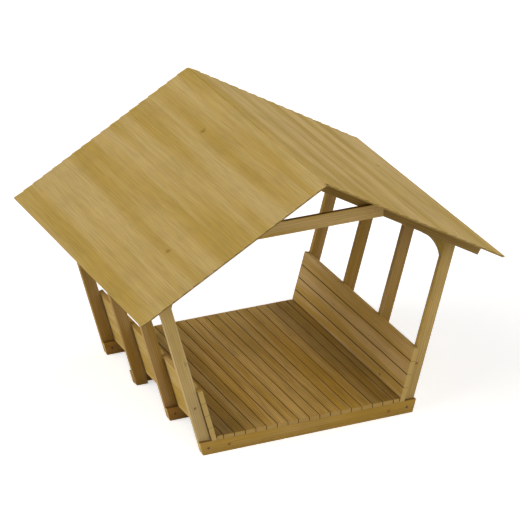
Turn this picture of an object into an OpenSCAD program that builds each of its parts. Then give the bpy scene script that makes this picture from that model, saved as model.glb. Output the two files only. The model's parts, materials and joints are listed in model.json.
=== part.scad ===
// Open timber picnic shelter. Millimetres, +Z up, front towards -Y.
// The origin is on the ground, midway between the side walls and midway
// between the front and back frames.

/* [Sizes of the whole] */
// distance between the centres of two neighbouring frames
frame_pitch = 870; // [700:10:1000]
// length of the floor joists along their top edge
joist_len = 2510; // [2100:10:2900]
// height of the rafters' top edges where the two slopes meet
apex_h = 2986; // [2600:10:3300]
// lean of the posts and walls away from upright, in degrees
lean = 15; // [5:1:20]
// slope of the roof, in degrees
roof_pitch = 30; // [25:0.5:35]

/* [Frame timbers] */
// thickness of posts, rafters and brackets, along the shelter
timber_t = 60; // [45:1:80]
// thickness of joists and ties, along the shelter
joist_t = 45; // [35:1:60]
// height of a floor joist
joist_h = 150; // [120:1:180]
// width of a post across its slope
post_w = 130; // [100:1:160]
// depth of a rafter across its slope
rafter_d = 150; // [110:1:180]
// how far a joist end stands out past the post's outer face
joist_out = 5; // [0:1:20]
// distance of the rafter tail's lower corner from the middle
tail_x = 1968; // [1850:1:2050]

/* [Knee brackets] */
// radius of the curved edge
bracket_r = 470; // [350:5:600]
// length of the bracket's edge along the rafter
bracket_len = 312; // [200:2:420]
// blunt thickness of the bracket's end on the rafter
bracket_nose = 4; // [2:0.5:12]

/* [Collar ties] */
// how far the tie's lower edge lies below the top of the rafters
tie_drop = 641; // [560:1:760]
// height of the tie board
tie_h = 150; // [100:5:160]
// half of the tie's length
tie_half = 829; // [600:1:900]

/* [Floor boards] */
// number of boards side by side
floor_n = 18; // [10:2:24]
// distance from one board to the next
floor_pitch = 122.9; // [90:0.1:150]
// open joint between two boards
floor_gap = 6; // [2:0.5:10]
// thickness of a board
floor_t = 44; // [28:1:50]

/* [Side walls] */
// number of boards in a wall
wall_n = 4; // [3:1:6]
// height of the wall's inner top edge above the ground
wall_top = 755; // [500:5:900]
// thickness of a board
wall_t = 56; // [40:1:65]
// how far the inner edges of a board are cut back at the joints
wall_groove = 4; // [1:0.5:8]

/* [Roof boards] */
// number of boards up one slope
roof_n = 18; // [10:1:24]
// distance from the ridge line to the eave edge, down the slope
slope_len = 2366; // [2200:1:2500]
// how far the roof boards pass the middle of the front and back frames
roof_over = 462.5; // [300:2.5:600]
// thickness of a board at its upper edge
board_thin = 12; // [8:0.5:16]
// thickness of a board at its lower edge
board_thick = 22; // [18:0.5:28]
// how far a board's lower edge covers the next board
board_lap = 12; // [6:1:25]

/* [Clearances] */
// seat gap between two pieces that bear on each other
seat = 0.3; // [0.2:0.1:0.6]

/* [Hidden] */
$fn = 96;
frame_n = 4;
lean_run = tan(lean);
roof_run = tan(roof_pitch);
lap_slope = (board_thick - board_thin) / ((slope_len - board_lap) / roof_n + board_lap);
board_pitch = (slope_len - board_lap) / roof_n;
step_n = board_thin + lap_slope * board_lap + seat;
post_foot = joist_len / 2 - joist_out - joist_h * lean_run;
post_level = post_w / cos(lean);
under_apex = apex_h - rafter_d / cos(roof_pitch);
tie_z = apex_h - tie_drop;
floor_z = joist_h + seat;
floor_top = floor_z + floor_t;
wall_level = wall_t / cos(lean);
wall_z = joist_h + seat;
wall_up = (wall_top - wall_z - wall_t * sin(lean)) / cos(lean);
wall_rise = wall_up / wall_n;
deck_y = frame_y(0) - timber_t / 2 - joist_t - seat;
deck_len = frame_y(frame_n - 1) + timber_t / 2 - deck_y;
floor_half = inner_x(floor_z) - wall_level - 2 * seat;
roof_len = (frame_n - 1) * frame_pitch + 2 * roof_over;

// middle of frame k, counted from the front
function frame_y(k) = (k - (frame_n - 1) / 2) * frame_pitch;
// outer and inner face of a right-hand post at height z
function outer_x(z) = post_foot + lean_run * z;
function inner_x(z) = outer_x(z) - post_level;
// point in a right-hand wall, u up along its outer face and v into the room
function wall_point(u, v) = [inner_x(wall_z) - seat / cos(lean) + u * sin(lean) - v * cos(lean),
                             wall_z + u * cos(lean) + v * sin(lean)];
// lower and upper edge of a rafter at distance x from the middle
function under_z(x) = under_apex - roof_run * x;
function upper_z(x) = apex_h - roof_run * x;
// height at which a leaning line through x0 on the ground meets the rafter's lower edge
function meet_z(x0) = (under_apex - roof_run * x0) / (1 + roof_run * lean_run);

// a flat profile in the plane of a frame, given its thickness along Y from y0
module slab(y0, t) {
  translate([0, y0 + t, 0]) rotate([90, 0, 0]) linear_extrude(height = t) children();
}

// the same on the left-hand side
module on_left() {
  mirror([1, 0, 0]) children();
}

// joists lie on the front of the posts, and on the back in the third frame
module floor_joist(k) {
  y0 = k == 2 ? frame_y(k) + timber_t / 2 + seat : frame_y(k) - timber_t / 2 - joist_t - seat;
  half_low = joist_len / 2 - joist_h * lean_run;
  color("burlywood") slab(y0, joist_t)
    polygon([[-half_low, 0], [half_low, 0], [joist_len / 2, joist_h], [-joist_len / 2, joist_h]]);
}

module right_post(k) {
  inner_foot = post_foot - post_level;
  z_out = meet_z(post_foot) - seat;
  z_in = meet_z(inner_foot) - seat;
  color("burlywood") slab(frame_y(k) - timber_t / 2, timber_t)
    polygon([[inner_foot, 0], [post_foot, 0],
             [post_foot + lean_run * z_out, z_out], [inner_foot + lean_run * z_in, z_in]]);
}

module right_rafter(k) {
  tail_z = under_z(tail_x);
  top_x = tail_x + rafter_d * sin(roof_pitch);
  top_z = tail_z + rafter_d * cos(roof_pitch);
  half_seat = seat / 2;
  color("burlywood") slab(frame_y(k) - timber_t / 2, timber_t)
    polygon([[half_seat, under_z(half_seat)], [tail_x, tail_z],
             [top_x, top_z], [half_seat, upper_z(half_seat)]]);
}

// the bracket fills the corner between post and rafter; its free edge is an arc
// that runs nearly level with the rafter's lower edge at the upper end
module right_bracket(k) {
  y0 = frame_y(k) - timber_t / 2;
  post_x = post_foot - post_level - seat / cos(lean);
  corner_z = meet_z(post_x) - seat / cos(roof_pitch);
  corner_x = post_x + lean_run * corner_z;
  start_x = corner_x - bracket_len * cos(roof_pitch);
  start_z = corner_z + bracket_len * sin(roof_pitch);
  reach = bracket_r + bracket_nose;
  arc_x = start_x - reach * sin(roof_pitch);
  arc_z = start_z - reach * cos(roof_pitch);
  color("burlywood") difference() {
    slab(y0, timber_t)
      polygon([[corner_x, corner_z], [start_x, start_z],
               [start_x - 2 * bracket_nose * sin(roof_pitch), start_z - 2 * bracket_nose * cos(roof_pitch)],
               [corner_x - bracket_len * sin(lean), corner_z - bracket_len * cos(lean)]]);
    translate([arc_x, y0 - 1, arc_z]) rotate([-90, 0, 0])
      cylinder(r = bracket_r, h = timber_t + 2, $fn = 360);
  }
}

module tie(y0) {
  color("burlywood") slab(y0, joist_t)
    translate([-tie_half, tie_z]) square([2 * tie_half, tie_h]);
}

module front_tie() {
  tie(frame_y(0) - timber_t / 2 - joist_t - seat);
}

module back_tie() {
  tie(frame_y(frame_n - 1) + timber_t / 2 + seat);
}

// the two outer boards are cut to fit against the walls
module floor_boards() {
  color("tan") slab(deck_y, deck_len)
    for (i = [0 : floor_n - 1]) {
      x0 = max(-floor_half, (i - floor_n / 2) * floor_pitch + floor_gap / 2);
      x1 = min(floor_half, (i + 1 - floor_n / 2) * floor_pitch - floor_gap / 2);
      translate([x0, floor_z]) square([x1 - x0, floor_t]);
    }
}

// one wall board, flat against the posts and sawn square, with its inner edges
// cut back so that a small groove shows at each joint; the lowest board is cut
// level underneath, where it stands on the joists
module right_wall_board(i) {
  u0 = i * wall_rise + seat;
  u1 = (i + 1) * wall_rise;
  foot = i == 0 ? [wall_point(0, 0), wall_point(-wall_t * lean_run, wall_t)]
                : [wall_point(u0, 0), wall_point(u0, wall_t - wall_groove),
                   wall_point(u0 + wall_groove, wall_t)];
  head = i == wall_n - 1 ? [wall_point(u1, wall_t), wall_point(u1, 0)]
                         : [wall_point(u1 - wall_groove, wall_t),
                            wall_point(u1, wall_t - wall_groove), wall_point(u1, 0)];
  color("tan") slab(deck_y, deck_len)
    polygon(concat(foot, head));
}

// lapped roof boards; each lower edge stands proud of the board below it, and
// the two top boards are cut square, which leaves a small groove at the ridge
module right_roof_boards() {
  color("wheat") slab(-roof_len / 2, roof_len)
    translate([seat / 2, apex_h + seat]) rotate(-roof_pitch)
      for (i = [0 : roof_n - 1])
        translate([i * board_pitch, 0])
          polygon([[0, 0], [board_pitch - seat, 0],
                   [board_pitch - seat, step_n], [board_pitch + board_lap, step_n],
                   [board_pitch + board_lap, board_thick], [0, board_thin]]);
}

floor_joist(0);  // floor_joist_1
floor_joist(1);  // floor_joist_2
floor_joist(2);  // floor_joist_3
floor_joist(3);  // floor_joist_4
on_left() right_post(0);  // left_post_1
on_left() right_post(1);  // left_post_2
on_left() right_post(2);  // left_post_3
on_left() right_post(3);  // left_post_4
right_post(0);  // right_post_1
right_post(1);  // right_post_2
right_post(2);  // right_post_3
right_post(3);  // right_post_4
on_left() right_rafter(0);  // left_rafter_1
on_left() right_rafter(1);  // left_rafter_2
on_left() right_rafter(2);  // left_rafter_3
on_left() right_rafter(3);  // left_rafter_4
right_rafter(0);  // right_rafter_1
right_rafter(1);  // right_rafter_2
right_rafter(2);  // right_rafter_3
right_rafter(3);  // right_rafter_4
on_left() right_bracket(0);  // left_bracket_1
on_left() right_bracket(1);  // left_bracket_2
on_left() right_bracket(2);  // left_bracket_3
on_left() right_bracket(3);  // left_bracket_4
right_bracket(0);  // right_bracket_1
right_bracket(1);  // right_bracket_2
right_bracket(2);  // right_bracket_3
right_bracket(3);  // right_bracket_4
front_tie();
back_tie();
floor_boards();
on_left() right_wall_board(0);  // left_wall_board_1
on_left() right_wall_board(1);  // left_wall_board_2
on_left() right_wall_board(2);  // left_wall_board_3
on_left() right_wall_board(3);  // left_wall_board_4
right_wall_board(0);  // right_wall_board_1
right_wall_board(1);  // right_wall_board_2
right_wall_board(2);  // right_wall_board_3
right_wall_board(3);  // right_wall_board_4
on_left() right_roof_boards();  // left_roof_boards
right_roof_boards();
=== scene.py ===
# %% [markdown]
# A picnic shelter of sawn softwood. The CAD model gives every timber its place
# and size; here the timbers get eased edges, bolts and screws, and wood that
# looks grown and not painted. Everything is in metres, in the CAD's own frame.
# %% Load the frame
import json
import math

import bpy
from mathutils import Euler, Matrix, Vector

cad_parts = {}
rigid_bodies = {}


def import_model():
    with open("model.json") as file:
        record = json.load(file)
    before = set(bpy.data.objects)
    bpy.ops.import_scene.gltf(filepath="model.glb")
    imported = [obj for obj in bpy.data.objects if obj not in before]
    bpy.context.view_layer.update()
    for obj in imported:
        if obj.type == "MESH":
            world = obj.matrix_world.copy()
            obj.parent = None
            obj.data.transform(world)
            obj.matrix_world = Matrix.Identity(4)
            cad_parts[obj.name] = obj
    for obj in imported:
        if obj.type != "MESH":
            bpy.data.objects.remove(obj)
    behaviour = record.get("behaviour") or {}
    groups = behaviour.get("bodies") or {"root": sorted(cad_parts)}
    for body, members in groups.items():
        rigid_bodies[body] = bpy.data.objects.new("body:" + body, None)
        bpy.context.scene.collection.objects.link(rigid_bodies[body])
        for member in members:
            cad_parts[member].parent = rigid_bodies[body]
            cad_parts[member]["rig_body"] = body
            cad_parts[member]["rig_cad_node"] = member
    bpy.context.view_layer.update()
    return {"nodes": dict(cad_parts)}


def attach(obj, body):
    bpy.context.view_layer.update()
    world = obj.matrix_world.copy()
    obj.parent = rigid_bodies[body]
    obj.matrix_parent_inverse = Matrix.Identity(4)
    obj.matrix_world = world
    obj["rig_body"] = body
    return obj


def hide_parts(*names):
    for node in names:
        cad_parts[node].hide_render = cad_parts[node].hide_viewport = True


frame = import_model()

# %% [markdown]
# The photograph was taken from high on the left with a long lens, so lines that
# are parallel on the shelter stay nearly parallel in the picture. The place, turn
# and lens were found by fitting about 130 points of the picture to the CAD.
# %% Camera
PITCH_DOWN, YAW, ROLL = 24.5588, 24.6197, 0.128  # degrees
lens_data = bpy.data.cameras.new("camera")
lens_data.sensor_width = 36.0
lens_data.lens = 255.29
lens_data.clip_end = 300.0
camera = bpy.data.objects.new("camera", lens_data)
bpy.context.scene.collection.objects.link(camera)
camera.location = (-14.8355, -32.5046, 17.7584)
aim = Euler((math.radians(90 - PITCH_DOWN), 0.0, math.radians(-YAW))).to_matrix()
roll = Euler((0.0, 0.0, math.radians(ROLL))).to_matrix()
camera.rotation_euler = (aim @ roll).to_euler()
bpy.context.scene.camera = camera
print("camera is", round(camera.location.length, 2), "m from the origin")

# %% [markdown]
# Both roof slopes are about equally bright in the photograph, the outer face of
# the left wall is bright and the faces deep under the roof are brown. That is a
# studio with wide soft lamps all round, the strongest low on the left. A sun lamp
# with a wide angle gives such light evenly over a thing as big as a shelter. Each
# lamp's strength was found by comparing one render for each lamp with the photo,
# and the lamp on the right was then raised until the right slope was bright enough.
# %% Light and floor
WARM_WHITE = (1.0, 0.99, 0.97)
bpy.context.scene.view_settings.view_transform = "Standard"


def put(tree, kind, inputs=None, **settings):
    """Adds a node, sets it up, and links or sets its inputs by name or number."""
    node = tree.nodes.new(kind)
    for name, value in settings.items():
        setattr(node, name, value)
    for name, value in (inputs or {}).items():
        if isinstance(value, bpy.types.NodeSocket):
            tree.links.new(value, node.inputs[name])
        else:
            node.inputs[name].default_value = value
    return node


def seen_directly(tree):
    """1 for rays from the camera, and for those that come off or through a surface."""
    path = put(tree, "ShaderNodeLightPath")
    two = put(tree, "ShaderNodeMath", {0: path.outputs["Is Camera Ray"],
                                       1: path.outputs["Is Glossy Ray"]}, operation="MAXIMUM")
    three = put(tree, "ShaderNodeMath", {0: two.outputs[0],
                                         1: path.outputs["Is Transmission Ray"]}, operation="MAXIMUM")
    return three.outputs[0]


world = bpy.data.worlds.new("pale_room")
world.use_nodes = True
bpy.context.scene.world = world
sky = world.node_tree
sky.nodes.clear()
lit = put(sky, "ShaderNodeBackground", {"Color": (*WARM_WHITE, 1), "Strength": 0.02})
white = put(sky, "ShaderNodeBackground", {"Color": (1, 1, 1, 1), "Strength": 1.0})
chosen = put(sky, "ShaderNodeMixShader", {0: seen_directly(sky), 1: lit.outputs[0], 2: white.outputs[0]})
put(sky, "ShaderNodeOutputWorld", {"Surface": chosen.outputs[0]})

SUN_WIDTH = math.radians(50)  # a wide sun throws a soft shadow
LAMPS = {  # name: (turn in degrees, strength); a lamp at rest shines straight down
    "front_high": ((45, 0, 0), 0.50),
    "front_low": ((75, 0, 0), 1.12),
    "left_low": ((0, -75, 0), 2.28),
    "left_behind": ((0, -50, -22), 0.72),
    "right_low": ((0, 75, 0), 1.80),
}
for name, (turn, strength) in LAMPS.items():
    lamp = bpy.data.lights.new(name, "SUN")
    lamp.energy = strength
    lamp.angle = SUN_WIDTH
    lamp.color = WARM_WHITE
    holder = bpy.data.objects.new(name, lamp)
    holder.rotation_euler = [math.radians(a) for a in turn]
    bpy.context.scene.collection.objects.link(holder)
    print(name, "strength", strength)

bpy.ops.mesh.primitive_plane_add(size=160, location=(0, 0, -0.0005))
ground = bpy.context.object
ground.name = "ground"
paper = bpy.data.materials.new("pale_paper")
paper.use_nodes = True
tree = paper.node_tree
tree.nodes.clear()
matt = put(tree, "ShaderNodeBsdfDiffuse", {"Color": (0.80, 0.80, 0.80, 1)})
glow = put(tree, "ShaderNodeEmission", {"Color": (1, 1, 1, 1), "Strength": 0.60})
none = put(tree, "ShaderNodeEmission", {"Strength": 0.0})
lift = put(tree, "ShaderNodeMixShader", {0: seen_directly(tree), 1: none.outputs[0], 2: glow.outputs[0]})
both = put(tree, "ShaderNodeAddShader", {0: matt.outputs[0], 1: lift.outputs[0]})
put(tree, "ShaderNodeOutputMaterial", {"Surface": both.outputs[0]})
ground.data.materials.append(paper)

# %% [markdown]
# Every timber came from another tree, so no two may carry the same figure. The
# first group counts which board a point lies on, by steps along the three axes,
# and gives that board random numbers that are the same on each run. It also tells
# how far the nearest joint is, in metres, because dirt gathers there.
# %% Group: which board
def new_group(name, inputs, outputs):
    """An empty node group with named sockets, and its inside ends."""
    group = bpy.data.node_groups.new(name, "ShaderNodeTree")
    for socket, kind in inputs.items():
        group.interface.new_socket(socket, in_out="INPUT", socket_type="NodeSocket" + kind)
    for socket, kind in outputs.items():
        group.interface.new_socket(socket, in_out="OUTPUT", socket_type="NodeSocket" + kind)
    return group, put(group, "NodeGroupInput").outputs, put(group, "NodeGroupOutput").inputs


def vector_math(tree, operation, a, b=None):
    """A Vector Math node on sockets or plain vectors."""
    node = put(tree, "ShaderNodeVectorMath", {0: a}, operation=operation)
    if isinstance(b, bpy.types.NodeSocket):
        tree.links.new(b, node.inputs[1])
    elif b is not None:
        node.inputs[1].default_value = b
    return node.outputs["Value" if operation in ("LENGTH", "DOT_PRODUCT") else "Vector"]


def sums(tree, operation, a, b=0.0, c=0.0):
    """A Math node on sockets or plain numbers."""
    return put(tree, "ShaderNodeMath", {0: a, 1: b, 2: c}, operation=operation).outputs[0]


def graded(tree, value, low, high, to_low=0.0, to_high=1.0):
    """A smooth step: to_low below low, to_high above high."""
    node = put(tree, "ShaderNodeMapRange", {"Value": value, "From Min": low, "From Max": high,
                                            "To Min": to_low, "To Max": to_high},
               interpolation_type="SMOOTHSTEP")
    return node.outputs["Result"]


which_board, given, result = new_group(
    "which_board", {"Place": "Vector", "Start": "Vector", "Step": "Vector"},
    {"Mark": "Vector", "Tone": "Float", "Edge": "Float"})
steps = vector_math(which_board, "DIVIDE",
                    vector_math(which_board, "SUBTRACT", given["Place"], given["Start"]), given["Step"])
number = vector_math(which_board, "ADD", vector_math(which_board, "FLOOR", steps), (0.5, 0.5, 0.5))
dice = put(which_board, "ShaderNodeTexWhiteNoise", {"Vector": number}, noise_dimensions="3D")
which_board.links.new(dice.outputs["Color"], result["Mark"])
which_board.links.new(dice.outputs["Value"], result["Tone"])
part = vector_math(which_board, "FRACTION", steps)
rest = vector_math(which_board, "SUBTRACT", (1, 1, 1), part)
near = vector_math(which_board, "MULTIPLY", vector_math(which_board, "MINIMUM", part, rest), given["Step"])
sides = put(which_board, "ShaderNodeSeparateXYZ", {0: near}).outputs
edge = sums(which_board, "MINIMUM", sums(which_board, "MINIMUM", sides[0], sides[1]), sides[2])
which_board.links.new(edge, result["Edge"])
print("group which_board:", len(which_board.nodes), "nodes")

# %% [markdown]
# Pine and larch show pale early wood and darker, golden late wood. Along the
# grain the figure hardly changes and across it it changes every few millimetres,
# so each noise is squeezed along the grain. Knots are cells of a Voronoi pattern
# of which only a few are used, and the lines swerve round them.
# %% Group: softwood figure
softwood, given, result = new_group(
    "softwood_figure",
    {"Grain": "Vector", "Mark": "Vector", "Tone": "Float", "Pale": "Color", "Golden": "Color",
     "Lines": "Float", "Knots": "Float", "Own": "Float", "Vary": "Float", "Streaks": "Float",
     "Veins": "Float"},
    {"Colour": "Color", "Roughness": "Float", "Height": "Float"})
t = softwood
# every board takes its figure from another place in one endless block of wood
own_place = vector_math(t, "SCALE", vector_math(t, "MULTIPLY", given["Mark"], (23, 7, 5)))
t.links.new(given["Own"], own_place.node.inputs["Scale"])
shifted = vector_math(t, "ADD", given["Grain"], own_place)
squeezed = vector_math(t, "MULTIPLY", shifted, (1.4, 6.5, 4.0))  # cells a knot apart
cell = put(t, "ShaderNodeTexVoronoi", {"Vector": squeezed, "Scale": 1.0, "Randomness": 1.0})
away = vector_math(t, "SUBTRACT", squeezed, cell.outputs["Position"])
away = vector_math(t, "MULTIPLY", away, (0.5, 0.154, 0.06))  # about back to metres
distance = vector_math(t, "LENGTH", away)
chance = vector_math(t, "DOT_PRODUCT", cell.outputs["Color"], (1, 0, 0))
has_knot = sums(t, "LESS_THAN", chance, given["Knots"])
# a knot is about 2 cm wide, with a darker rim of wood, and lines swerve up to 9 cm away
spot_mask = sums(t, "MULTIPLY", graded(t, distance, 0.006, 0.011, 1.0, 0.0), has_knot)
ring = sums(t, "MULTIPLY", graded(t, distance, 0.010, 0.030, 1.0, 0.0), has_knot)
swerve = sums(t, "MULTIPLY", graded(t, distance, 0.0, 0.09, 0.75, 0.0), has_knot)
sideways = put(t, "ShaderNodeCombineXYZ", {"Y": swerve}).outputs[0]
bent = vector_math(t, "SUBTRACT", shifted, vector_math(t, "MULTIPLY", away, sideways))
# broad streaks of golden wood, then year lines, fine fibres and thin dark veins
streak = put(t, "ShaderNodeTexNoise",
             {"Vector": vector_math(t, "MULTIPLY", bent, (0.06, 1.0, 1.0)), "Scale": given["Streaks"],
              "Detail": 2.0})
streaks = graded(t, streak.outputs["Fac"], 0.36, 0.64)
rings = put(t, "ShaderNodeTexWave",
            {"Vector": vector_math(t, "MULTIPLY", bent, (0.10, 1.0, 1.0)), "Scale": 13.0,
             "Distortion": 5.0, "Detail": 2.0, "Detail Scale": 0.5}, bands_direction="Y")
line = graded(t, rings.outputs["Fac"], 0.45, 1.0)
fibre = put(t, "ShaderNodeTexNoise",
            {"Vector": vector_math(t, "MULTIPLY", bent, (3.0, 150.0, 150.0)), "Scale": 1.0, "Detail": 3.0})
fibres = graded(t, fibre.outputs["Fac"], 0.40, 0.60)
# the Mix node has sockets for each kind of value; those for colours are 6, 7 and output 2
base = put(t, "ShaderNodeMix", {0: streaks, 6: given["Golden"], 7: given["Pale"]}, data_type="RGBA")
vein = put(t, "ShaderNodeTexNoise",
           {"Vector": vector_math(t, "MULTIPLY", bent, (0.8, 30.0, 30.0)), "Scale": 1.0, "Detail": 2.5})
off_middle = sums(t, "ABSOLUTE", sums(t, "SUBTRACT", vein.outputs["Fac"], 0.5))
veins = graded(t, off_middle, 0.0, 0.07, 1.0, 0.0)
dark_line = sums(t, "MULTIPLY", line, given["Lines"])
dark_line = sums(t, "ADD", dark_line, sums(t, "MULTIPLY", veins, given["Veins"]))
dark_fibre = sums(t, "MULTIPLY", fibres, 0.10)
dark_ring = sums(t, "MULTIPLY", ring, 0.22)
own_tone = sums(t, "MULTIPLY", sums(t, "SUBTRACT", given["Tone"], 0.5), given["Vary"])
board_tone = sums(t, "ADD", 1.0, own_tone)
light = board_tone
for darkness in (dark_line, dark_fibre, dark_ring):
    light = sums(t, "MULTIPLY", light, sums(t, "SUBTRACT", 1.0, darkness))
wood = vector_math(t, "SCALE", base.outputs[2])
t.links.new(light, wood.node.inputs["Scale"])
knot_colour = (0.13, 0.065, 0.020, 1)
knotted = put(t, "ShaderNodeMix", {0: sums(t, "MULTIPLY", spot_mask, 0.85), 6: wood, 7: knot_colour},
              data_type="RGBA")
t.links.new(knotted.outputs[2], result["Colour"])
t.links.new(sums(t, "MULTIPLY_ADD", line, -0.10, 0.66), result["Roughness"])
relief = sums(t, "ADD", sums(t, "MULTIPLY", line, 0.6), sums(t, "MULTIPLY", fibres, 0.4))
t.links.new(relief, result["Height"])
print("group softwood_figure:", len(t.nodes), "nodes")

# %% [markdown]
# Where a timber is sawn across, the year rings show as arcs and the open pores
# drink in dirt, so ends are darker and duller. The rings are circles round a
# heart that lies outside the board.
# %% Group: end grain
end_figure, given, result = new_group(
    "end_grain_figure", {"Grain": "Vector", "Mark": "Vector", "Pale": "Color"},
    {"Colour": "Color", "Height": "Float"})
t = end_figure
# the heart of the tree lies up to 10 cm away, at another place for each board
heart = vector_math(t, "MULTIPLY_ADD", given["Mark"], (0, 0.10, 0.05))
heart.node.inputs[2].default_value = (0, -0.05, 0.06)
arcs = put(t, "ShaderNodeTexWave",
           {"Vector": vector_math(t, "ADD", given["Grain"], heart), "Scale": 38.0, "Distortion": 1.2,
            "Detail": 2.0, "Detail Scale": 1.0}, wave_type="RINGS", rings_direction="X")
pores = put(t, "ShaderNodeTexNoise", {"Vector": given["Grain"], "Scale": 420.0, "Detail": 2.0})
shade = sums(t, "SUBTRACT", 1.06, sums(t, "MULTIPLY", arcs.outputs["Fac"], 0.24))
shade = sums(t, "MULTIPLY", shade, graded(t, pores.outputs["Fac"], 0.3, 0.7, 0.88, 1.05))
wood = vector_math(t, "SCALE", given["Pale"])
t.links.new(shade, wood.node.inputs["Scale"])
t.links.new(wood, result["Colour"])
t.links.new(sums(t, "ADD", sums(t, "MULTIPLY", arcs.outputs["Fac"], 0.5),
                 sums(t, "MULTIPLY", pores.outputs["Fac"], 0.5)), result["Height"])
print("group end_grain_figure:", len(t.nodes), "nodes")

# %% [markdown]
# A shelter that has stood for a few months is darker near the ground, where rain
# splashes, and has faint cloudy stains and dark dirt in its joints. Beside the side
# walls, towards the back and under the roof it is darker as painted shade, and on
# the outside of the walls the joint darkening paints each post's shadow. One group
# with a few strengths as its inputs serves all the wood.
# %% Group: weather and painted shade
weather_and_shade, given, result = new_group(
    "weather_and_shade", {"Place": "Vector", "Colour": "Color", "Edge": "Float", "Joint Dirt And Shadow": "Float",
               "Reach": "Float", "Dirt And Shadow Colour": "Color", "Top": "Float", "Foot": "Float",
               "Walls And Back Shade": "Float", "Roof Shade": "Float"}, {"Colour": "Color"})
t = weather_and_shade
axes = put(t, "ShaderNodeSeparateXYZ", {0: given["Place"]}).outputs
height = axes["Z"]
cloud = put(t, "ShaderNodeTexNoise", {"Vector": given["Place"], "Scale": 2.6, "Detail": 3.0})
splash = graded(t, height, 0.0, 0.14, 0.16, 0.0)  # rain splashes up to 14 cm high
stain_and_shade = sums(t, "ADD", splash, graded(t, cloud.outputs["Fac"], 0.42, 0.75, 0.0, 0.07))
# painted shade by the side walls and towards the back
wall_shade_mask = graded(t, sums(t, "ABSOLUTE", axes["X"]), 0.40, 1.0)
back_shade_mask = graded(t, axes["Y"], -0.6, 1.4, 0.0, 0.4)
stain_and_shade = sums(t, "ADD", stain_and_shade, sums(t, "MULTIPLY", sums(t, "MAXIMUM", wall_shade_mask, back_shade_mask), given["Walls And Back Shade"]))
# painted shade under the roof, from 1.5 m up to full at 2 m
stain_and_shade = sums(t, "ADD", stain_and_shade, sums(t, "MULTIPLY", graded(t, height, 1.50, 2.0), given["Roof Shade"]))
stained_and_shaded = vector_math(t, "SCALE", given["Colour"])
t.links.new(sums(t, "SUBTRACT", 1.0, stain_and_shade), stained_and_shaded.node.inputs["Scale"])
# dirt in the joints, and the painted shadow in front of each post, is full to nearly half its reach and
# then fades out
full_dark_reach = sums(t, "MULTIPLY", given["Reach"], 0.45)
in_joint = graded(t, given["Edge"], full_dark_reach, given["Reach"], 1.0, 0.0)
dirt_and_shadow = sums(t, "MULTIPLY", in_joint, given["Joint Dirt And Shadow"])
dirt_and_shadow = sums(t, "MULTIPLY", dirt_and_shadow, sums(t, "LESS_THAN", height, given["Top"]))
# a dirty line up to 1 cm above the floor, where a wall stands on it
above_foot = sums(t, "SUBTRACT", height, given["Foot"])
dirt_and_shadow = sums(t, "MAXIMUM", dirt_and_shadow, graded(t, above_foot, 0.004, 0.010, 0.55, 0.0))
dirtied_and_shaded = put(t, "ShaderNodeMix", {0: dirt_and_shadow, 6: stained_and_shaded, 7: given["Dirt And Shadow Colour"]}, data_type="RGBA")
t.links.new(dirtied_and_shaded.outputs[2], result["Colour"])
print("group season:", len(t.nodes), "nodes")

# %% [markdown]
# Some knots in the photograph are easy to see, so they are put where they are: a
# dark core with a fuzzy rim, made a little uneven by noise. The same mark draws a
# painted shade spot at the front end of the ridge.
# %% Group: dark spot at a place
dark_spot_at, given, result = new_group(
    "dark_spot_at", {"Place": "Vector", "Centre": "Vector", "Radius": "Float"}, {"Mask": "Float"})
t = dark_spot_at
from_centre = vector_math(t, "LENGTH", vector_math(t, "SUBTRACT", given["Place"], given["Centre"]))
uneven = put(t, "ShaderNodeTexNoise", {"Vector": given["Place"], "Scale": 60.0, "Detail": 1.0})
far = sums(t, "MULTIPLY_ADD", sums(t, "SUBTRACT", uneven.outputs["Fac"], 0.5), 0.02, from_centre)
share = sums(t, "DIVIDE", far, given["Radius"])
core = graded(t, share, 0.25, 0.60, 0.50, 0.0)
t.links.new(sums(t, "ADD", core, graded(t, share, 0.55, 1.0, 0.38, 0.0)), result["Mask"])
print("group dark_spot_at:", len(t.nodes), "nodes")

# %% [markdown]
# Each finish is the same three groups with its own values. A Mapping node turns
# the pattern so that its X runs along the grain, Y across the face and Z into the
# wood. Start and Step say where boards begin, so each board gets its own figure.
# A tint fits each part to the photograph. It is partly the wood's own colour; where
# a piece behind or a top face is tinted darker, and on the ends of the roof boards,
# the tint is painted shade.
# %% The wood finishes
PALE = (0.520, 0.358, 0.120)
GOLDEN = (0.425, 0.270, 0.050)
KNOT_AND_SHADE_SPOT = (0.17, 0.07, 0.018, 1)
SOFT_KNOT = (0.27, 0.155, 0.030, 1)
DIRT_AND_SHADOW = (0.055, 0.026, 0.006, 1)
KNOT_RADIUS = 0.045  # a wider mark is a soft golden knot
NO_LIMIT = 9.0  # higher than the shelter
PLAIN = (1, 1, 1)


def tinted(colour, tint):
    """A colour times a tint, opaque."""
    return [c * k for c, k in zip(colour, tint)] + [1]


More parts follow.
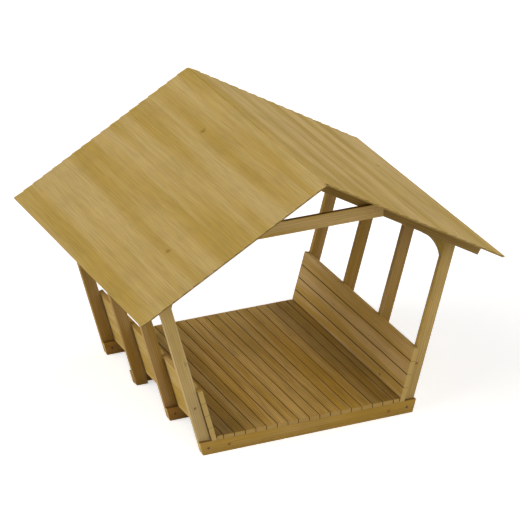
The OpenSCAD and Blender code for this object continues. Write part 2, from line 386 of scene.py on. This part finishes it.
def wood_finish(name, turn, start, step, shift=(0, 0, 0), by_turned=False, ends=False, tint=PLAIN,
                gold=PLAIN, lines=0.16, knots=0.10, own=1.0, vary=0.12, streaks=8.0, veins=0.08,
                dirt_and_shadow=0.0, reach=0.009, top=NO_LIMIT, foot=-NO_LIMIT, walls_and_back_shade=0.0, roof_shade=0.0, marks=()):
    """A material for timbers whose grain runs along X once turned by turn, in degrees.

    Start and step count the boards, in place or in turned coordinates. Tint and gold
    colour all the wood and its late wood. Marks are dark spots at known places, each
    a point and a radius in metres: knots, and one painted shade spot at the ridge.
    Walls and back shade, roof shade and part of the dirt and shadow are painted shade.
    """
    finish = bpy.data.materials.new(name)
    finish.use_nodes = True
    tree = finish.node_tree
    shader = tree.nodes["Principled BSDF"]
    place = put(tree, "ShaderNodeTexCoord").outputs["Object"]
    turned = [math.radians(a) for a in turn]
    grain = put(tree, "ShaderNodeMapping",
                {"Vector": place, "Location": shift, "Rotation": turned}).outputs[0]
    board = put(tree, "ShaderNodeGroup", node_tree=which_board)
    tree.links.new(grain if by_turned else place, board.inputs["Place"])
    board.inputs["Start"].default_value = start
    board.inputs["Step"].default_value = step
    figure = put(tree, "ShaderNodeGroup", node_tree=end_figure if ends else softwood)
    tree.links.new(grain, figure.inputs["Grain"])
    tree.links.new(board.outputs["Mark"], figure.inputs["Mark"])
    figure.inputs["Pale"].default_value = tinted(PALE, tint)
    if not ends:
        tree.links.new(board.outputs["Tone"], figure.inputs["Tone"])
        figure.inputs["Golden"].default_value = tinted(tinted(GOLDEN, tint), gold)
        for socket, value in (("Lines", lines), ("Knots", knots), ("Own", own), ("Vary", vary),
                              ("Streaks", streaks), ("Veins", veins)):
            figure.inputs[socket].default_value = value
        tree.links.new(figure.outputs["Roughness"], shader.inputs["Roughness"])
    else:
        shader.inputs["Roughness"].default_value = 0.8
    aged_and_shaded = put(tree, "ShaderNodeGroup", node_tree=weather_and_shade)
    tree.links.new(place, aged_and_shaded.inputs["Place"])
    tree.links.new(figure.outputs["Colour"], aged_and_shaded.inputs["Colour"])
    tree.links.new(board.outputs["Edge"], aged_and_shaded.inputs["Edge"])
    for socket, value in (("Joint Dirt And Shadow", dirt_and_shadow), ("Reach", reach), ("Dirt And Shadow Colour", DIRT_AND_SHADOW), ("Top", top),
                          ("Foot", foot), ("Walls And Back Shade", walls_and_back_shade), ("Roof Shade", roof_shade)):
        aged_and_shaded.inputs[socket].default_value = value
    colour = aged_and_shaded.outputs["Colour"]
    for point, radius in marks:
        spot_mask = put(tree, "ShaderNodeGroup", {"Place": place, "Centre": point, "Radius": radius},
                   node_tree=dark_spot_at)
        core = SOFT_KNOT if radius > KNOT_RADIUS else KNOT_AND_SHADE_SPOT
        colour = put(tree, "ShaderNodeMix", {0: spot_mask.outputs["Mask"], 6: colour, 7: core},
                     data_type="RGBA").outputs[2]
    tree.links.new(colour, shader.inputs["Base Color"])
    bump = put(tree, "ShaderNodeBump", {"Height": figure.outputs["Height"], "Strength": 0.35,
                                        "Distance": 0.0008})
    tree.links.new(bump.outputs[0], shader.inputs["Normal"])
    shader.inputs["Specular IOR Level"].default_value = 0.12
    return finish


# the CAD's own spacings, in metres
FRAME_PITCH, FLOOR_PITCH, WALL_PITCH, ROOF_PITCH = 0.87, 0.1229, 0.15276, 0.13078
FLOOR_BOARDS = 18
FAR = 50  # beyond the shelter on any side
# for each kind: where the count starts, and its step along X, Y and Z
COUNT = {
    "across": dict(start=(-FAR, -2 * FRAME_PITCH, -0.2), step=(2 * FAR, FRAME_PITCH, 1.6)),
    "upright": dict(start=(-10, -2 * FRAME_PITCH, -FAR), step=(10, FRAME_PITCH, 2 * FAR)),
    "floor": dict(start=(-FLOOR_BOARDS * FLOOR_PITCH / 2, -FAR, -FAR),
                  step=(FLOOR_PITCH, 2 * FAR, 2 * FAR)),
    "wall": dict(start=(-FAR, -50 * WALL_PITCH, -FAR), step=(2 * FAR, WALL_PITCH, 2 * FAR)),
    "roof": dict(start=(-FAR, -50 * ROOF_PITCH, -FAR), step=(2 * FAR, ROOF_PITCH, 2 * FAR)),
}
print("pale", PALE[:3], "golden", GOLDEN[:3])

# %% [markdown]
# A sawn timber never has knife edges: the mill takes the arris off. A copy of the
# CAD node has its loose triangles merged and its flat faces dissolved, and then a
# Bevel modifier eases the edges and Weighted Normal keeps the big faces flat.
# %% Helpers for the timbers
def only(*things):
    """Selects these objects and nothing else; the last one is active."""
    if bpy.context.object and bpy.context.object.mode != "OBJECT":
        bpy.ops.object.mode_set(mode="OBJECT")
    bpy.ops.object.select_all(action="DESELECT")
    for thing in things:
        thing.select_set(True)
        bpy.context.view_layer.objects.active = thing


def copy_of(node, name):
    """A copy of a CAD node with its own mesh, merged and with whole faces."""
    piece = frame["nodes"][node].copy()
    piece.data = piece.data.copy()
    piece.name = piece.data.name = name
    piece.parent = None
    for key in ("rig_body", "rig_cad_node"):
        if key in piece:
            del piece[key]
    piece.data.materials.clear()
    bpy.context.scene.collection.objects.link(piece)
    only(piece)
    bpy.ops.object.mode_set(mode="EDIT")
    bpy.ops.mesh.select_all(action="SELECT")
    bpy.ops.mesh.remove_doubles(threshold=0.00002)
    bpy.ops.mesh.dissolve_limited(angle_limit=math.radians(0.4))
    bpy.ops.mesh.normals_make_consistent(inside=False)
    bpy.ops.object.mode_set(mode="OBJECT")
    return piece


EDGE, FINE_EDGE = 0.0025, 0.0012  # how wide the edges of timbers and rafters are eased


def ease_edges(piece, width, segments=2):
    """Rounds the edges over and keeps the large faces flat in the light."""
    only(piece)
    bpy.ops.object.shade_smooth()
    bevel = piece.modifiers.new("eased", "BEVEL")
    bevel.width, bevel.segments = width, segments
    bevel.limit_method, bevel.angle_limit = "ANGLE", math.radians(28)
    even = piece.modifiers.new("even", "WEIGHTED_NORMAL")
    even.weight = 90
    for modifier in (bevel.name, even.name):
        bpy.ops.object.modifier_apply(modifier=modifier)
    return piece


def dress(piece, side, end, turn, slot, *nodes):
    """Gives long faces and sawn ends their finish, and puts the piece on the frame.

    Turn is the finish's own turn, so its X tells which way the grain runs.
    """
    along = Euler([math.radians(a) for a in turn]).to_matrix().transposed() @ Vector((1, 0, 0))
    piece.data.materials.append(side)
    piece.data.materials.append(end)
    for face in piece.data.polygons:
        face.material_index = 1 if abs(face.normal.dot(along)) > 0.8 else 0
    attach(piece, "root")
    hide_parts(*nodes)
    return piece


# %% [markdown]
# The frame timbers: joists and ties lie across, posts lean and rafters slope. One
# loop over the kinds dresses them, because they differ only in how the grain runs
# and in tint. The knee brackets are sawn from a wide board, with the grain along
# the brace.
# The front piece of each kind has its own finish, with the knots that show; where
# the pieces behind it are tinted darker, that is painted shade. Level top faces are
# dark as painted shade.
# No rafter tail peeps out under the left eave in the photograph, so the left tails
# are sawn 30 mm shorter than the CAD's, which are alike on both sides.
# %% Frame timbers
def cut_tail(piece, back=0.030):
    """Saws the tail of a left rafter back, square across the rafter."""
    slope = math.radians(30)
    down = Vector((-math.cos(slope), 0, -math.sin(slope)))
    end = max((vertex.co for vertex in piece.data.vertices), key=lambda co: co.dot(down))
    only(piece)
    bpy.ops.object.mode_set(mode="EDIT")
    bpy.ops.mesh.select_all(action="SELECT")
    bpy.ops.mesh.bisect(plane_co=end - back * down, plane_no=down, use_fill=True, clear_outer=True)
    bpy.ops.object.mode_set(mode="OBJECT")


kinds = [
    ("floor_joist", "joist_timber", "across", (90, 0, 0), ["floor_joist_%d" % k for k in (1, 2, 3, 4)]),
    ("collar_tie", "tie_timber", "across", (90, 0, 0), ["front_tie", "back_tie"]),
]
for hand, lean, slope, brace in (("left", 105, 30, 67.5), ("right", 75, -30, -67.5)):
    for kind, slot, angle in (("post", "post_timber", lean), ("rafter", "rafter_timber", slope),
                              ("bracket", "bracket_timber", brace)):
        names = ["%s_%s_%d" % (hand, kind, k) for k in (1, 2, 3, 4)]
        kinds.append((hand + "_" + kind, slot, "upright", (90, 0, angle), names))
MARKS = {  # knots of the front pieces, read off the photograph: place and radius in metres
    "floor_joist": [((-0.919, -1.38, 0.074), 0.026), ((0.929, -1.38, 0.072), 0.026)],
    "left_post": [((-1.286, -1.335, 0.541), 0.024)],
    "right_post": [((1.273, -1.335, 0.545), 0.024)],
}
# the darker tints of the pieces behind the front one are painted shade
TINTS_AND_SHADE = {  # the wood of the front piece, and of the pieces behind it
    "left_post": ((1.04, 1.08, 1.42), (0.82, 0.74, 0.78)),
    "floor_joist": ((1.0, 0.93, 0.83), (0.78, 0.60, 0.40)),
    "right_post": ((1.02, 1.0, 1.02), (0.90, 0.82, 0.80)),
    "right_rafter": ((0.78, 0.73, 0.70), (0.80, 0.72, 0.70)),
    "left_rafter": ((0.78, 0.73, 0.70), (0.80, 0.72, 0.70)),
    "collar_tie": ((1.05, 1.03, 1.12), (1.0, 1.0, 1.0)),
}
GOLDS = {  # the front posts have hardly any golden late wood
    "left_post": (1.16, 1.20, 1.65),
    "right_post": (1.12, 1.14, 1.40),
}
# painted shade under the roof, its strength for each kind of frame timber
ROOF_SHADES = {"collar_tie": 0.0, "right_bracket": 0.34, "right_post": 0.28, "left_post": 0.26}
SHADED_TOP_TINT = (0.42, 0.36, 0.30)
LEVEL = 0.98  # the normal of a level face points this far up
for kind, slot, count, turn, nodes in kinds:
    grain = dict(turn=turn, **COUNT[count])
    looks = dict(lines=0.15, knots=0.12, roof_shade=ROOF_SHADES.get(kind, 0.20), **grain)
    front_tint, behind_tint_and_shade = TINTS_AND_SHADE.get(kind, (PLAIN, PLAIN))
    front = wood_finish(kind + "_front_wood", tint=front_tint, gold=GOLDS.get(kind, PLAIN),
                        marks=MARKS.get(kind, ()), **looks)
    behind = wood_finish(kind + "_wood", tint=behind_tint_and_shade, **looks)
    end = wood_finish(kind + "_sawn_end", ends=True, **grain)
    # level top faces take this darker finish as painted shade
    top = wood_finish(kind + "_shaded_top_wood", lines=0.15, tint=SHADED_TOP_TINT, **grain)
    for number, node in enumerate(nodes, 1):
        piece = copy_of(node, node + "_eased")
        if kind == "left_rafter":
            cut_tail(piece)
        piece = ease_edges(piece, FINE_EDGE if "rafter" in kind else EDGE)
        dress(piece, front if number == 1 else behind, end, turn, slot, node)
        piece.data.materials.append(top)
        for face in piece.data.polygons:
            if face.normal.z > LEVEL:
                face.material_index = 2
    print(kind, len(nodes), "pieces,", len(piece.data.polygons), "faces each")

# %% [markdown]
# The floor boards have open joints, and dirt lies along their edges. The wall
# boards are sawn square, with a small groove at each joint on the side that faces
# in. Outside, the dark band where the boards pass the front of each post is
# painted shadow of the post.
# %% Floor and wall boards
floor_turn = (0, 0, -90)
# the floor is darker by the side walls and towards the back as painted shade
floor_side = wood_finish("floor_wood", floor_turn, lines=0.20, knots=0.06, vary=0.18, veins=0.20,
                         dirt_and_shadow=0.9, reach=0.0065, walls_and_back_shade=0.44, tint=(1.40, 1.30, 1.15), **COUNT["floor"])
floor_end = wood_finish("floor_sawn_end", floor_turn, ends=True, tint=(0.84, 0.78, 0.70), **COUNT["floor"])
floor = ease_edges(copy_of("floor_boards", "floor_boards_eased"), 0.003)
dress(floor, floor_side, floor_end, floor_turn, "floor_boarding", "floor_boards")
print("floor:", len(floor.data.polygons), "faces")

WALL_FOOT = Vector((1.1152, 0.0, 0.1503))  # the outer lower edge of the right wall
FLOOR_TOP = 0.1943
WALL_TOP = 0.72  # above this no joint shows, so no dirt
POST_FRONT = -1.335  # where the first post's front face meets the wall
for hand, side_x, lean in (("left", -1, 105), ("right", 1, 75)):
    turn = (0, lean, -90)
    foot = Euler([math.radians(a) for a in turn]).to_matrix() @ (WALL_FOOT * Vector((side_x, 1, 1)))
    wall = dict(turn=turn, shift=(0, -foot.y, 0), by_turned=True)
    inside = wood_finish(hand + "_wall_inside_wood", lines=0.16, knots=0.06, dirt_and_shadow=0.9, top=WALL_TOP,
                         foot=FLOOR_TOP, tint=(1.06, 1.02, 1.18), **wall, **COUNT["wall"])
    # the outside finish paints each post's shadow on the wall in front of the post's front face
    outside_post_shadow = wood_finish(hand + "_wall_outside_post_shadow_wood", lines=0.10, knots=0.03, vary=0.0, own=0.0,
                          dirt_and_shadow=0.85, reach=0.066, start=(POST_FRONT, -FAR, -FAR),
                          step=(FRAME_PITCH, 2 * FAR, 2 * FAR), **wall)
    end = wood_finish(hand + "_wall_sawn_end", ends=True, **wall, **COUNT["wall"])
    for k in (1, 2, 3, 4):
        node = "%s_wall_board_%d" % (hand, k)
        piece = ease_edges(copy_of(node, node + "_eased"), 0.0015, 1)
        dress(piece, inside, end, turn, "wall_boarding", node)
        piece.data.materials.append(outside_post_shadow)
        for face in piece.data.polygons:
            if face.normal.x * side_x > 0.9:
                face.material_index = 2
    print(hand, "wall:", len(piece.data.polygons), "faces a board")

# %% [markdown]
# The roof boards are lapped, and seen from above their joints hardly show: the
# figure runs in broad golden bands over several boards, so all boards of a slope
# share one figure. The sawn ends, which draw the saw-tooth edge, are darkened as
# painted shade, and a dark spot at the front of the ridge is painted shade too.
# %% Roof boards
# painted shade, drawn like a knot: a dark spot where the groove between the top boards ends at the front
# of the ridge
RIDGE_SHADE_SPOT = ((0.013, -1.747, 2.986), 0.045)  # a knot's place and radius
ROOF_MARKS = {"left": [RIDGE_SHADE_SPOT, ((-0.374, 0.508, 2.790), 0.050), ((-1.409, -0.950, 2.193), 0.046)],
              "right": [RIDGE_SHADE_SPOT, ((1.700, 0.505, 2.024), 0.046)]}
BANDS = {"left": dict(streaks=4.2, veins=0.11, tint=(1.12, 1.16, 1.30), gold=(1.02, 1.03, 1.15)),
         "right": dict(streaks=5.0, veins=0.12, tint=(1.27, 1.28, 1.32), gold=(0.98, 0.99, 0.92))}
# the dark tint of the roof boards' sawn ends is painted shade
ROOF_END_SHADE = {"left": (0.46, 0.43, 0.44), "right": (0.64, 0.60, 0.54)}
for hand, turn in (("left", (0, 210, -90)), ("right", (0, -30, -90))):
    roof = dict(turn=turn, shift=(0, -1.493, 0), by_turned=True, **COUNT["roof"])
    side = wood_finish(hand + "_roof_wood", lines=0.06, knots=0.0, own=0.0, vary=0.03,
                       marks=ROOF_MARKS[hand], **BANDS[hand], **roof)
    end = wood_finish(hand + "_roof_shaded_sawn_end", ends=True, tint=ROOF_END_SHADE[hand], **roof)
    piece = ease_edges(copy_of(hand + "_roof_boards", hand + "_roof_boards_eased"), FINE_EDGE, 1)
    dress(piece, side, end, turn, "roof_boarding", hand + "_roof_boards")
    print(hand, "roof:", len(piece.data.polygons), "faces")

# %% [markdown]
# Coach bolts hold every joist to its posts, and screws hold the ties, the floor
# and the wall boards. A bolt's mushroom head starts as a low cylinder; its top is
# inset and lifted twice, which domes it. All heads of one kind are copies of one
# mesh, set on the timber with their foot on its face, and joined into one piece.
# Their steel is dull and brown, so it shows as a small dark spot from afar.
# %% Heads of bolts and screws
def dome_head(name, radius, height, sides):
    """A domed head standing on its own origin."""
    only()
    bpy.ops.mesh.primitive_cylinder_add(vertices=sides, radius=radius, depth=height * 0.4,
                                        location=(0, 0, height * 0.2))
    head = bpy.context.object
    head.name = name
    bpy.ops.object.transform_apply(location=True, rotation=True, scale=True)
    for inset, lift in ((0.28, 0.42), (0.34, 0.18)):
        top = max(face.center.z for face in head.data.polygons)
        for face in head.data.polygons:
            face.select = abs(face.center.z - top) < 1e-7
        for edge_line in head.data.edges:
            edge_line.select = False
        bpy.ops.object.mode_set(mode="EDIT")
        bpy.ops.mesh.select_mode(type="FACE")
        bpy.ops.mesh.inset(thickness=radius * inset, depth=height * lift)
        bpy.ops.object.mode_set(mode="OBJECT")
    bpy.ops.object.shade_smooth_by_angle(angle=math.radians(50))
    return head


def place_heads(name, pattern, spots, finish):
    """Sets a copy of the pattern at every spot, a point and the way it looks, and joins them."""
    copies = []
    for point, way in spots:
        head = bpy.data.objects.new(name, pattern.data.copy())
        bpy.context.scene.collection.objects.link(head)
        head.location = point
        head.rotation_euler = Vector(way).to_track_quat("Z", "Y").to_euler()
        copies.append(head)
    only(*copies)
    bpy.ops.object.join()
    piece = bpy.context.object
    only(piece)
    bpy.ops.object.transform_apply(location=True, rotation=True, scale=True)
    piece.name = piece.data.name = name
    piece.data.materials.append(finish)
    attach(piece, "root")
    print(name, len(spots), "heads,", len(piece.data.polygons), "faces")
    return piece


steel = bpy.data.materials.new("browned_steel")
steel.use_nodes = True
tree = steel.node_tree
shader = tree.nodes["Principled BSDF"]
place = put(tree, "ShaderNodeTexCoord").outputs["Object"]
spangle = put(tree, "ShaderNodeTexNoise", {"Vector": place, "Scale": 300.0, "Detail": 2.0})
DARK_BROWN, LIGHT_BROWN = (0.085, 0.042, 0.017, 1), (0.17, 0.095, 0.040, 1)
tone = put(tree, "ShaderNodeMix", {0: graded(tree, spangle.outputs["Fac"], 0.35, 0.65),
                                   6: DARK_BROWN, 7: LIGHT_BROWN}, data_type="RGBA")
tree.links.new(tone.outputs[2], shader.inputs["Base Color"])
tree.links.new(graded(tree, spangle.outputs["Fac"], 0.3, 0.7, 0.55, 0.75), shader.inputs["Roughness"])
shader.inputs["Metallic"].default_value = 0.15
shader.inputs["Specular IOR Level"].default_value = 0.2

FRAME_Y = [(k - 1.5) * FRAME_PITCH for k in range(4)]
POST, JOIST, GAP = 0.060, 0.045, 0.0003
OUT = POST / 2 + GAP + JOIST  # from the middle of a post to the far face of a joist or tie
JOIST_FACE = [(y + OUT, 1) if k == 2 else (y - OUT, -1) for k, y in enumerate(FRAME_Y)]
bolt = dome_head("bolt_head", 0.011, 0.006, 16)
spots = [((x, y, 0.076), (0, way, 0)) for y, way in JOIST_FACE for x in (-1.156, 1.143)]
place_heads("joist_bolts", bolt, spots, steel)

screw = dome_head("screw_head", 0.0045, 0.0012, 10)
TIE_SCREWS = (0.68, 2.40), (0.73, 2.44)  # across and up, in the corner of tie and rafter
spots = [((side_x * x, y, z), (0, way, 0)) for y, way in ((FRAME_Y[0] - OUT, -1), (FRAME_Y[3] + OUT, 1))
         for side_x in (-1, 1) for x, z in TIE_SCREWS]
place_heads("tie_screws", screw, spots, steel)

JOIST_END = 1.05  # no screw in the floor further out than this
floor_x = [(i - (FLOOR_BOARDS - 1) / 2) * FLOOR_PITCH + off
           for i in range(FLOOR_BOARDS) for off in (-0.035, 0.035)]
spots = [((x, y - way * JOIST / 2, FLOOR_TOP), (0, 0, 1))
         for x in floor_x if abs(x) < JOIST_END for y, way in JOIST_FACE]
place_heads("floor_screws", screw, spots, steel)

LEAN, WALL_BOARD = math.radians(15), 0.056
across, up = math.cos(LEAN), math.sin(LEAN)
spots = []
for side_x in (-1, 1):
    for along in [k * WALL_PITCH + off for k in range(4) for off in (0.04, 0.113)]:
        x = WALL_FOOT.x + along * up - WALL_BOARD * across
        z = WALL_FOOT.z + along * across + WALL_BOARD * up
        if z > 0.21:  # the lowest screws would lie under the floor
            spots += [((side_x * x, y, z), (-side_x * across, 0, up)) for y in FRAME_Y]
place_heads("wall_screws", screw, spots, steel)
for pattern in (bolt, screw):
    bpy.data.objects.remove(pattern)
